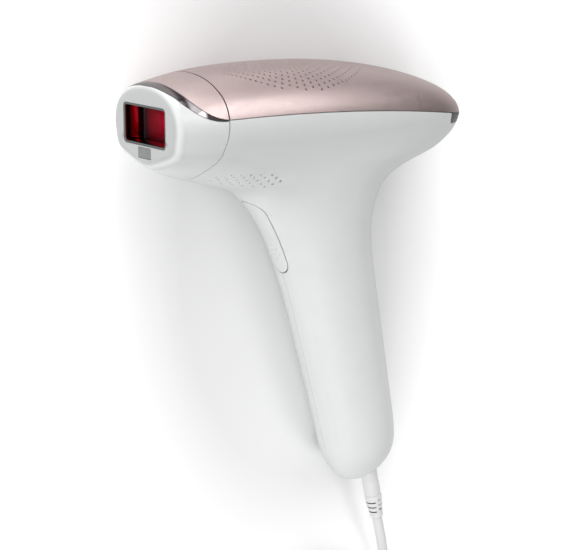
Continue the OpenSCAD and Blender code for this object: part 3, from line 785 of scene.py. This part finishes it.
def coil_path():
    """The wound lead: three columns wide below and two above, each turn a diameter from the next."""
    points = []
    for angle in np.arange(3, COIL_TURN, 6):
        radius, height = COIL_OUTER_R, CORD_D / 2
        for turn, (earlier, outward, up) in enumerate(COIL_MOVES):
            start = 360 * turn + FIRST_MOVE - MOVE_ANGLE * earlier
            t = min(1, max(0, (angle - start) / MOVE_ANGLE))
            share = t * t * (3 - 2 * t)
            radius += outward * CORD_D * share
            height += up * CORD_D * share
        a = math.radians(COIL_START - angle)
        points.append((COIL_CENTRE[0] + radius * math.cos(a), COIL_CENTRE[1] + radius * math.sin(a), height))
    return points


def lead():
    route = smooth_path(LEAD_ROUTE).tolist() + coil_path() + smooth_path(ADAPTER_ROUTE).tolist()
    curve = bpy.data.curves.new("lead", "CURVE")
    curve.dimensions = "3D"
    curve.bevel_depth = CORD_D / 2 * MM
    curve.bevel_resolution = 5
    curve.use_fill_caps = True
    spline = curve.splines.new("POLY")
    spline.points.add(len(route) - 1)
    for point, at in zip(spline.points, route):
        point.co = (*(c * MM for c in at), 1)
    spline.use_smooth = True
    return linked("lead", curve), route


def plug_barrel():
    """The lead's plug: its contact, its neck and the collar in the grip's end."""
    profile = [(-13.5, 2.5), (-13.2, 2.75), (-1.6, 2.75), (-1.55, 3.4), (-1.2, 3.6), (7.6, 3.65), (8.6, 3.62),
               (9.0, 3.45), (9.5, 3.42), (9.9, 3.55), (10.6, 3.65), (15.9, 3.65), (16.3, 3.5), (16.4, 3.3)]
    return turned(OUTLET, OUTLET_DIR, profile)


SLOT_PITCH, SLOT_W = 2.35, 0.55
SLOT_STARTS, SLOT_HALF_ANGLES = (19.3, 18.4), (56, 16)
SLOT_TURN = 0.16


def relief_slot(at, turn, half_angle):
    """Cutter for one slot, a sector round the lead, as far in as the lead."""
    forward = np.array([-OUTLET_DIR[2], 0, OUTLET_DIR[0]])
    ring = []
    for radius, sweep in ((CORD_D / 2 + 0.1, (-1, 1)), (5, (1, -1))):
        for angle in turn + half_angle * np.linspace(*sweep, 15):
            ring.append(radius * (math.cos(angle) * forward + math.sin(angle) * np.array([0, 1, 0])))
    low = OUTLET + at * OUTLET_DIR + np.array(ring)
    return skin("slot", [low, low + SLOT_W * OUTLET_DIR])


def strain_relief():
    """Tapered sleeve with slots: long ones above and below, and short ones at its sides between them."""
    profile = [(16.35, 3.3), (16.5, 3.62), (17, 3.78), (18.2, 3.75), (25.7, 2.95), (25.9, 2.75), (26.2, 2.75),
               (26.35, 2.95), (26.7, 3.0), (27.2, 2.95), (27.4, 2.7)]
    made = turned(OUTLET, OUTLET_DIR, profile)
    cut(made, rod(OUTLET + 16 * OUTLET_DIR, OUTLET + 28 * OUTLET_DIR, CORD_D, 40))
    for i in range(3):
        for quarter in range(4):
            at = SLOT_STARTS[quarter % 2] + SLOT_PITCH * i
            half_angle = math.radians(SLOT_HALF_ANGLES[quarter % 2])
            cut(made, relief_slot(at, math.pi / 2 * quarter + SLOT_TURN, half_angle))
    return made


def shade_slots(relief):
    """Painted shade: darker bottoms for the slots, where hardly any light reaches."""
    relief.data.materials.append(MATERIALS["dark_panel"])
    to_device = PLACE.inverted()
    for face in relief.data.polygons:
        out = np.array(to_device @ face.center) - OUTLET
        if np.linalg.norm(out - out @ OUTLET_DIR * OUTLET_DIR) < CORD_D / 2 + 0.3:
            face.material_index = 1


def tie_outline(radius, start=0.0, end=2 * math.pi, steps=72):
    """Outline round the stack of turns, as (distance from the coil's axis, height)."""
    centres = np.array([(20.5, 2.25), (29.5, 2.25), (29.5, 15.75), (25, 15.75), (20.5, 6.75)])
    outline = []
    for turn in np.linspace(start, end, steps, endpoint=end - start < 6):
        way = np.array([math.cos(turn), math.sin(turn)])
        outline.append(centres[np.argmax(centres @ way)] + radius * way)
    return np.array(outline)


def strap(inner, outer, half_width, closed):
    """Band of rectangular section, with rounded edges, that runs along two outlines."""
    rings = []
    for (y0, z0), (y1, z1) in zip(inner, outer):
        z0, z1 = max(z0, 0.35), max(z1, 0.02)
        section = [(-half_width, 0.15), (-half_width, 0.85), (-half_width + 0.2, 1), (half_width - 0.2, 1),
                   (half_width, 0.85), (half_width, 0.15), (half_width - 0.2, 0), (-half_width + 0.2, 0)]
        rings.append([(COIL_CENTRE[0] + x, COIL_CENTRE[1] + y0 + (y1 - y0) * t, z0 + (z1 - z0) * t)
                      for x, t in section])
    return skin("strap", rings, closed)


def tie():
    """Strap round the stack of turns, with its end lapped over it."""
    loop = strap(tie_outline(2.3), tie_outline(2.85), 2.5, True)
    start, end = math.radians(35), math.radians(200)
    flap = strap(tie_outline(2.8, start, end, 60), tie_outline(3.3, start, end, 60), 2.3, False)
    return add(loop, flap)


def adapter():
    """Plug-in adapter: two half shells that meet in a groove, with a plate for its rating on top."""
    profile = [(0, 1.6), (0.15, 1.0), (0.6, 0.35), (1.4, 0), (13.55, 0), (13.8, 0.3), (14.2, 0.3), (14.45, 0),
               (25.6, 0.0), (26.8, 0.35), (27.6, 1.0), (28, 2.2)]
    middle_x, middle_y = ADAPTER_END[0] - ADAPTER_LEN / 2, ADAPTER_END[1]
    rings = []
    for z, inset in profile:
        outline = rounded_rectangle(ADAPTER_LEN / 2 - inset, ADAPTER_W / 2 - inset, 6, 10)
        rings.append([(x + middle_x, y + middle_y, z) for x, y in outline])
    made = skin("adapter", rings)
    plate = rounded_rectangle(9.5, 13, 1.5)
    cut(made, skin("plate", [[(x + middle_x + 10.5, y + middle_y, z) for x, y in plate] for z in (27.7, 30)]))
    for side in (-1, 1):
        y = middle_y + side * ADAPTER_W / 2
        for x in middle_x - 8 + 4 * np.arange(5):
            cut(made, box((x, y - 0.5, 4), (x + 1.6, y + 0.5, 10.5)))
    return made


def adapter_relief():
    """Ribbed gland where the lead goes into the adapter."""
    profile = [(-0.5, 4.4), (0.4, 4.5), (1.2, 4.3), (2, 3.9), (2.3, 4.1), (3.5, 4), (3.8, 3.6), (4.6, 3.55),
               (4.9, 3.8), (6.1, 3.65), (6.4, 3.3), (7.2, 3.25), (7.5, 3.45), (8.7, 3.3), (9, 2.95),
               (9.8, 2.9), (10.1, 3.05), (11.4, 2.85), (12, 2.6)]
    return turned(ADAPTER_END, (1, 0, 0), profile)


def on_pins(profile):
    """The same turned shape on both mains pins."""
    x, y, up = ADAPTER_END[0] - ADAPTER_LEN + 15, ADAPTER_END[1], (0, 0, 1)
    places = [(x, y + side * PIN_PITCH / 2, ADAPTER_H) for side in (-1, 1)]
    return join("pins", [turned(at, up, profile) for at in places])


def pin_tips():
    return on_pins([(-0.5, 1.9), (17.6, 1.98), (18.4, 1.75), (18.85, 1.2), (19, 0.5)])


def pin_sleeves():
    return on_pins([(-0.4, 2.9), (0.35, 2.85), (0.5, 2.3), (0.7, 2.05), (9.6, 2.03), (9.8, 1.93)])


# ---- Materials ----


class Shader:
    """A node tree in the making, on object coordinates, which are metres."""

    def __init__(self, name):
        self.material = bpy.data.materials.new(name)
        self.material.use_nodes = True
        self.tree = self.material.node_tree
        self.bsdf = self.tree.nodes["Principled BSDF"]
        self.place = self.node("ShaderNodeTexCoord").outputs["Object"]

    def node(self, kind, **values):
        made = self.tree.nodes.new(kind)
        for key, value in values.items():
            setattr(made, key, value)
        return made

    def link(self, source, target):
        self.tree.links.new(source, target)

    def drive(self, key, source):
        """Feeds a value of the finished surface."""
        self.link(source, self.bsdf.inputs[key])

    def textured(self, kind, values, place=None, **settings):
        """A texture with its numbers set, on object coordinates unless told otherwise."""
        made = self.node(kind, **settings)
        for key, value in values.items():
            made.inputs[key].default_value = value
        self.link(place or self.place, made.inputs["Vector"])
        return made.outputs

    def noise(self, size_mm, detail=3.0, rough=0.55):
        numbers = {"Scale": 1 / MM / size_mm, "Detail": detail, "Roughness": rough}
        return self.textured("ShaderNodeTexNoise", numbers)["Fac"]

    def scaled(self, source, low, high, from_low=0.3, from_high=0.7):
        made = self.node("ShaderNodeMapRange")
        made.inputs["From Min"].default_value = from_low
        made.inputs["From Max"].default_value = from_high
        made.inputs["To Min"].default_value = low
        made.inputs["To Max"].default_value = high
        self.link(source, made.inputs["Value"])
        return made.outputs["Result"]

    def mixed(self, factor, first, second):
        made = self.node("ShaderNodeMix", data_type="RGBA")
        for slot, colour in ((6, first), (7, second)):
            if isinstance(colour, tuple):
                made.inputs[slot].default_value = (*colour, 1)
            else:
                self.link(colour, made.inputs[slot])
        self.link(factor, made.inputs[0])
        return made.outputs[2]

    def blended(self, texture, first, second):
        """From one colour to another as a texture goes from dark to light."""
        return self.mixed(self.scaled(texture, 0, 1), first, second)

    def zoned(self, colour, zones):
        """Colour that gives way to others, each (colour, start, end) along the handset in mm."""
        if zones:
            shift = self.node("ShaderNodeVectorMath", operation="SUBTRACT")
            shift.inputs[1].default_value = PLACE.translation
            self.link(self.place, shift.inputs[0])
            along = self.node("ShaderNodeVectorMath", operation="DOT_PRODUCT")
            along.inputs[1].default_value = PLACE.to_3x3().col[0].normalized() / MM
            self.link(shift.outputs["Vector"], along.inputs[0])
        for other, start, end in zones:
            colour = self.mixed(self.scaled(along.outputs["Value"], 0, 1, start, end), colour, other)
        return colour

    def bump(self, height, distance_mm, strength):
        made = self.node("ShaderNodeBump")
        made.inputs["Strength"].default_value = strength
        made.inputs["Distance"].default_value = distance_mm * MM
        self.link(height, made.inputs["Height"])
        self.drive("Normal", made.outputs["Normal"])

    def set(self, **values):
        for key, value in values.items():
            self.bsdf.inputs[key.replace("_", " ")].default_value = value


def shade(colour, factor):
    return tuple(min(1.0, c * factor) for c in colour)


def moulded(name, colour, rough, grain_mm, grain, tint=0.04, coat=0.0, mottle_mm=14, zones=()):
    """Moulded or turned surface: slow tint, a fine grain in the bump and slightly uneven gloss."""
    shader = Shader(name)
    tinted = shader.blended(shader.noise(mottle_mm, 2), shade(colour, 1 - tint), shade(colour, 1 + tint))
    shader.drive("Base Color", shader.zoned(tinted, zones))
    shader.drive("Roughness", shader.scaled(shader.noise(3.0, 4), rough * 0.85, rough * 1.15))
    shader.bump(shader.noise(grain_mm, 2), 0.02, grain)
    shader.set(Coat_Weight=coat, Coat_Roughness=0.12)
    return shader.material


def rose_lacquer():
    """Fine metallic flakes under a satin clear coat."""
    shader = Shader("rose_lacquer")
    flakes = shader.textured("ShaderNodeTexVoronoi", {"Scale": 1 / MM / FLAKE_MM})["Color"]
    sparkle = shader.node("ShaderNodeSeparateColor")
    shader.link(flakes, sparkle.inputs[0])
    base = shader.mixed(shader.scaled(sparkle.outputs[0], 0, 1, 0, 1), *ROSE)
    toned = shader.node("ShaderNodeMix", data_type="RGBA", blend_type="MULTIPLY")
    toned.inputs[0].default_value = 1
    shader.link(base, toned.inputs[6])
    shader.link(shader.scaled(shader.noise(22, 2), 0.96, 1.03), toned.inputs[7])
    shader.drive("Base Color", toned.outputs[2])
    shader.drive("Roughness", shader.scaled(shader.noise(2.5, 3), 0.37, 0.45))
    shader.bump(sparkle.outputs[1], 0.012, 0.35)
    shader.set(Metallic=0.85, Coat_Weight=0.25, Coat_Roughness=0.2)
    return shader.material


def plated(name, colour, rough, zones=()):
    """Polished plating with faint rubbing marks."""
    shader = Shader(name)
    tinted = shader.blended(shader.noise(6, 3), shade(colour, 0.96), colour)
    shader.drive("Base Color", shader.zoned(tinted, zones))
    shader.drive("Roughness", shader.scaled(shader.noise(0.7, 4), rough, rough * 2.2))
    shader.bump(shader.noise(1.4, 2), 0.003, 0.15)
    shader.set(Metallic=1.0)
    return shader.material


def brushed(name, colour, rough):
    """Drawn or rolled metal, with fine lines along its length."""
    shader = Shader(name)
    stretched = shader.textured("ShaderNodeMapping", {"Scale": (40, 1, 40)})[0]
    lines = shader.textured("ShaderNodeTexNoise", {"Scale": 120, "Detail": 4}, stretched)["Fac"]
    shader.drive("Base Color", shader.blended(lines, shade(colour, 0.85), colour))
    shader.drive("Roughness", shader.scaled(lines, rough * 0.8, rough * 1.3))
    shader.bump(lines, 0.01, 0.3)
    shader.set(Metallic=1.0)
    return shader.material


def clear(name, colour, rough, ior, weight=1.0):
    """Glass or clear plastic, with a trace of unevenness."""
    shader = Shader(name)
    shader.drive("Base Color", shader.blended(shader.noise(5, 2), shade(colour, 0.9), colour))
    shader.drive("Roughness", shader.scaled(shader.noise(1.5, 2), rough, rough + 0.03))
    shader.set(Transmission_Weight=weight, IOR=ior)
    return shader.material


def board_mask():
    """Solder mask over copper tracks: straight tracks as raised, lighter lines."""
    shader = Shader("board_mask")
    tracks = shader.textured("ShaderNodeTexBrick", {
        "Scale": 260, "Mortar Size": 0.06, "Mortar": (0.04, 0.24, 0.12, 1),
        "Color1": (0.01, 0.10, 0.05, 1), "Color2": (0.015, 0.13, 0.06, 1),
    })
    shader.drive("Base Color", tracks["Color"])
    shader.drive("Roughness", shader.scaled(shader.noise(2, 2), 0.25, 0.4))
    shader.bump(tracks["Fac"], 0.03, 0.4)
    return shader.material


def woven_tape():
    """Ribbed strap of the lead's tie."""
    shader = Shader("woven_tape")
    ribs = shader.textured("ShaderNodeTexWave", {"Scale": 260, "Distortion": 0.6},
                           wave_type="BANDS", bands_direction="X")["Fac"]
    shader.drive("Base Color", shader.mixed(ribs, (0.035, 0.035, 0.04), (0.075, 0.075, 0.08)))
    shader.bump(ribs, 0.08, 0.6)
    shader.set(Roughness=0.75, Sheen_Weight=0.2)
    return shader.material


FLAKE_MM = 0.09
ROSE = ((0.545, 0.43, 0.42), (0.68, 0.555, 0.54))
WHITE = (0.80, 0.815, 0.81)
SHELL_WHITE = (WHITE, 0.34, 0.5, 0.04, 0.012, 0.15)
# Where a colour gives way along the handset: each is the next colour, and its start and end in mm.
# Painted reflections on the chrome trim: a dark bar, a lighter band as a painted glint, and a near-black end
# stand in for the studio seen in it.
TRIM_PAINTED_REFLECTIONS = (((0.07, 0.06, 0.065), 3.6, 4.8), ((0.45, 0.42, 0.43), 6.0, 7.2),
              ((0.025, 0.02, 0.022), 11.5, 13.0))
# The window's tube: grey at its front rim, then near-black at the back as painted shade deep in the tube.
WINDOW_RIM_AND_PAINTED_SHADE = (((0.14, 0.155, 0.15), 1.9, 1.6), ((0.03, 0.004, 0.008), 6.0, 6.5))
# Painted shade: the flat treatment face is greyer than its white rounded edge.
FACE_PAINTED_SHADE = (((0.50, 0.51, 0.508), 1.0, 0.2),)


def each(make, *rows):
    """Materials of one kind, from rows that start with the name."""
    return {name: make(name, *values) for name, *values in rows}


MATERIALS = {
    **each(
        moulded,
        ("white_shell", *SHELL_WHITE),
        ("trigger_plastic", WHITE, 0.36, 0.5, 0.06, 0.012, 0.1),
        ("dark_panel", (0.075, 0.072, 0.074), 0.34, 0.2, 0.12, 0.08, 0.3),
        ("light_lens", (0.11, 0.11, 0.105), 0.32, 0.3, 0.1),
        ("inner_plastic", (0.045, 0.045, 0.047), 0.5, 0.3, 0.4),
        ("black_plastic", (0.02, 0.02, 0.021), 0.45, 0.3, 0.4, 0.1),
        ("sensor_window", (0.20, 0.20, 0.20), 0.12, 0.4, 0.05, 0.06, 0.4, 3),
        ("component_case", (0.045, 0.045, 0.05), 0.5, 0.25, 0.4, 0.1),
        ("capacitor_sleeve", (0.02, 0.035, 0.12), 0.25, 0.6, 0.1, 0.1, 0.3),
        ("transformer_core", (0.06, 0.055, 0.052), 0.6, 0.3, 0.7, 0.15),
        ("lead_insulation", (0.42, 0.02, 0.02), 0.45, 0.3, 0.15),
        ("cord_jacket", (0.80, 0.805, 0.80), 0.36, 0.4, 0.25, 0.02),
        ("adapter_shell", (0.78, 0.785, 0.78), 0.42, 0.35, 0.5, 0.015),
    ),
    **each(
        plated,
        # Chrome trim: its bands along the handset are painted reflections.
        ("chrome_trim", (0.25, 0.225, 0.23), 0.04, TRIM_PAINTED_REFLECTIONS),
        # Window tube: its red is a painted reflection of the red filter on the mirror walls, and its
        # near-black back end is painted shade.
        ("window_metal", (0.62, 0.05, 0.09), 0.05, WINDOW_RIM_AND_PAINTED_SHADE),
        ("bright_aluminium", (0.88, 0.88, 0.89), 0.08),
        ("gold_contact", (0.83, 0.60, 0.22), 0.12),
    ),
    **each(brushed, ("steel", (0.62, 0.62, 0.63), 0.28), ("pin_metal", (0.66, 0.64, 0.60), 0.24)),
    **each(
        clear,
        ("filter_glass", (0.72, 0.012, 0.045), 0.02, 1.52, 0.3),
        ("lamp_glass", (0.95, 0.96, 0.98), 0.0, 1.46),
    ),
    "rose_cover": rose_lacquer(), "circuit_board": board_mask(), "tie_plastic": woven_tape(),
}

# ---- Pieces on their bodies ----

SHARP_ANGLE, BEVEL_ANGLE = math.radians(34), math.radians(40)
BEVEL_MM = 0.15


def dress(thing, slot):
    """Smooth shading up to the sharp edges, and the slot's material."""
    thing.data.polygons.foreach_set("use_smooth", [True] * len(thing.data.polygons))
    thing.data.set_sharp_from_angle(angle=SHARP_ANGLE)
    thing.data.materials.clear()
    thing.data.materials.append(MATERIALS[slot])


def placed(thing, name, slot, body, nodes, place=PLACE):
    """Puts a finished solid in the shared frame and makes it stand for its CAD nodes."""
    thing.name = thing.data.name = name
    thing.data.transform(place)
    dress(thing, slot)
    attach(thing, body)
    if nodes:
        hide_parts(*nodes)
    return thing


placed(left_half(), "left_shell", "white_shell", "handset", ["left_housing"])
placed(right_half(), "right_shell", "white_shell", "handset", ["right_housing"])
placed(cover(), "rose_top", "rose_cover", "handset", ["top_cover"])
placed(tail_panel(), "tail_panel", "dark_panel", "handset", ["rear_panel"])
placed(trigger(), "trigger_key", "trigger_plastic", "trigger", ["flash_trigger"])
spring = placed(trigger_spring(), "key_spring", "steel", "handset", ["trigger_spring"])
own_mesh(spring)
white_body = placed(attachment_white(), "attachment_body", "white_shell", "attachment", ["attachment_shell"])
# The treatment face's grey is painted shade.
white_body.data.materials[0] = moulded("contact_white_painted_shade", *SHELL_WHITE, zones=FACE_PAINTED_SHADE)
placed(attachment_rose(), "attachment_top", "rose_cover", "attachment", ["attachment_cover"])
placed(trim_band(), "trim_band", "chrome_trim", "attachment", ["chrome_trim"])
placed(window_box(), "window_box", "window_metal", "attachment", ["window_frame"])
placed(sensor_pane(), "sensor_pane", "sensor_window", "attachment", ["skin_sensor"])

relief = placed(strain_relief(), "lead_relief", "cord_jacket", "handset", ["strain_relief"])
# Painted shade in the bottoms of the relief's slots.
shade_slots(relief)
barrel = placed(plug_barrel(), "lead_plug", "cord_jacket", "handset", ["cord_plug"])
tie_piece = placed(tie(), "lead_tie", "tie_plastic", "handset", ["cord_tie"], TABLE)
adapter_piece = placed(adapter(), "adapter_case", "adapter_shell", "handset", ["adapter_body"], TABLE)
adapter_gland = placed(adapter_relief(), "adapter_gland", "cord_jacket", "handset", ["adapter_relief"], TABLE)
tips = placed(pin_tips(), "pin_tips", "pin_metal", "handset", ["mains_pins"], TABLE)
sleeves = placed(pin_sleeves(), "pin_sleeves", "adapter_shell", "handset", [], TABLE)

lead_piece, lead_route = lead()
lead_piece.data.materials.append(MATERIALS["cord_jacket"])
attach(lead_piece, "handset")
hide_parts("power_cord", "cord_coil", "adapter_cord")
tuple(c * MM for c in lead_route[0])

# The CAD nodes that stay as they are get their slot's material and a small bevel.
SHARP_NODES = ("lamp_leads", "filter_glass", "flash_lamp")
for entry in frame["record"]["subparts"]:
    node = frame["nodes"][entry["node"]]
    if node.hide_render:
        continue
    dress(node, entry["material_slot"])
    weld = node.modifiers.new("weld", "WELD")
    weld.merge_threshold = 1e-6
    if entry["node"] not in SHARP_NODES:
        bevel = node.modifiers.new("bevel", "BEVEL")
        bevel.width = BEVEL_MM * MM
        bevel.segments = 2
        bevel.limit_method = "ANGLE"
        bevel.angle_limit = BEVEL_ANGLE
        bevel.harden_normals = True

# ---- Floor and light ----


FLOOR_HALF = 4
PAPER = ((0.90, 0.90, 0.90), (0.92, 0.92, 0.92))
# Painted reflection, what gloss sees of the floor: light on the left, and dark to the right of these places,
# in metres.
GLOSS_PAINTED_FLOOR, GLOSS_FROM_TO = ((0.75, 0.75, 0.75), (0.10, 0.10, 0.10)), (-0.15, 0.25)
# Painted light: glow of the floor, by the distance from under the grip in metres. Its weakness near the grip
# paints a shadow there.
GLOW_SHIFT, GLOW_STRETCH = (-0.003, -0.006, 0), (1.15, 0.6, 0)
GLOW_NEAR, GLOW_FAR, GLOW_FROM_TO = 0.01, 0.36, (0.06, 0.115)


def floor():
    """Paper floor that glows though it is no lamp: painted light, weak round the grip, where it leaves a
    painted shadow, and stronger away from it.
    """
    h = FLOOR_HALF
    made = mesh_object("floor", [(-h, -h, 0), (h, -h, 0), (h, h, 0), (-h, h, 0)], [(0, 1, 2, 3)])
    shader = Shader("floor")
    paper = shader.blended(shader.noise(400, 2), *PAPER)
    axes = shader.node("ShaderNodeSeparateXYZ")
    shader.link(shader.place, axes.inputs[0])
    # Painted reflection: glossy rays see a floor that darkens to the right.
    seen = shader.mixed(shader.scaled(axes.outputs[0], 0, 1, *GLOSS_FROM_TO), *GLOSS_PAINTED_FLOOR)
    in_gloss = shader.node("ShaderNodeLightPath").outputs["Is Glossy Ray"]
    shader.drive("Base Color", shader.mixed(in_gloss, paper, seen))
    offset = shader.textured("ShaderNodeMapping", {"Location": GLOW_SHIFT, "Scale": GLOW_STRETCH})["Vector"]
    reach = shader.node("ShaderNodeVectorMath", operation="LENGTH")
    shader.link(offset, reach.inputs[0])
    glow = shader.scaled(reach.outputs["Value"], GLOW_NEAR, GLOW_FAR, *GLOW_FROM_TO)
    # Painted light: the floor's emission.
    shader.drive("Emission Strength", glow)
    shader.set(Roughness=0.9, Emission_Color=(1, 1, 1, 1), Specular_IOR_Level=0.1)
    made.data.materials.append(shader.material)


def softbox(name, at, look_at, width, height, watts, spread=180, diffuse=True, gloss=True):
    """Area light that may be left out of the diffuse light or of the gloss."""
    data = bpy.data.lights.new(name, "AREA")
    data.shape = "RECTANGLE"
    data.size, data.size_y = width, height
    data.energy = watts
    data.spread = math.radians(spread)
    made = linked(name, data)
    made.location = at
    made.rotation_mode = "QUATERNION"
    made.rotation_quaternion = (Vector(look_at) - Vector(at)).to_track_quat("-Z", "Y")
    made.visible_diffuse = diffuse
    made.visible_glossy = gloss


# Bright parts of the studio: (direction, brightness, how tightly it is gathered).
SKY_LOBES = (
    ((-1, 0, 0), 0.42, 2), ((-1, 0, 1), 0.70, 2), ((0, 1, 0), 0.22, 2), ((0, 1, 1), 0.30, 2),
    ((-1, -0.6, 1), 1.1, 8), ((0, 1, 0.7), 0.85, 8), ((0.45, 0.35, 0.82), 0.65, 30),
)


def sky():
    """Studio surround, a sum of soft lobes of light."""
    world = bpy.data.worlds.new("studio")
    bpy.context.scene.world = world
    world.use_nodes = True
    tree = world.node_tree
    coords = tree.nodes.new("ShaderNodeTexCoord")
    total = None
    for direction, brightness, power in SKY_LOBES:
        aim = tree.nodes.new("ShaderNodeVectorMath")
        aim.operation = "DOT_PRODUCT"
        aim.inputs[1].default_value = Vector(direction).normalized()
        tree.links.new(coords.outputs["Generated"], aim.inputs[0])
        value = aim.outputs["Value"]
        for operation, other in (("MAXIMUM", 0), ("POWER", power), ("MULTIPLY", brightness)):
            step = tree.nodes.new("ShaderNodeMath")
            step.operation = operation
            step.inputs[1].default_value = other
            tree.links.new(value, step.inputs[0])
            value = step.outputs[0]
        if total is not None:
            add_up = tree.nodes.new("ShaderNodeMath")
            tree.links.new(total, add_up.inputs[0])
            tree.links.new(value, add_up.inputs[1])
            value = add_up.outputs[0]
        total = value
    tree.links.new(total, tree.nodes["Background"].inputs["Strength"])
    tree.nodes["Background"].inputs["Color"].default_value = (1, 1, 1, 1)


floor()
sky()
softbox("low_top", (-0.2, 1.5, 0.35), (0, 0, 0), 0.8, 0.8, 5.5)
softbox("high_right", (0.8, 1.0, 0.9), (0, 0, 0), 1.2, 1.2, 1.5)
softbox("grip_fill", (0.35, -0.62, 0.5), (0.06, -0.16, 0), 0.3, 0.3, 0.17, spread=50, gloss=False)
softbox("cover_gleam", (0.68, 0.53, 1.23), (0, 0.05, 0), 0.9, 0.9, 5.5, diffuse=False)
bpy.context.scene.view_settings.view_transform = "Standard"
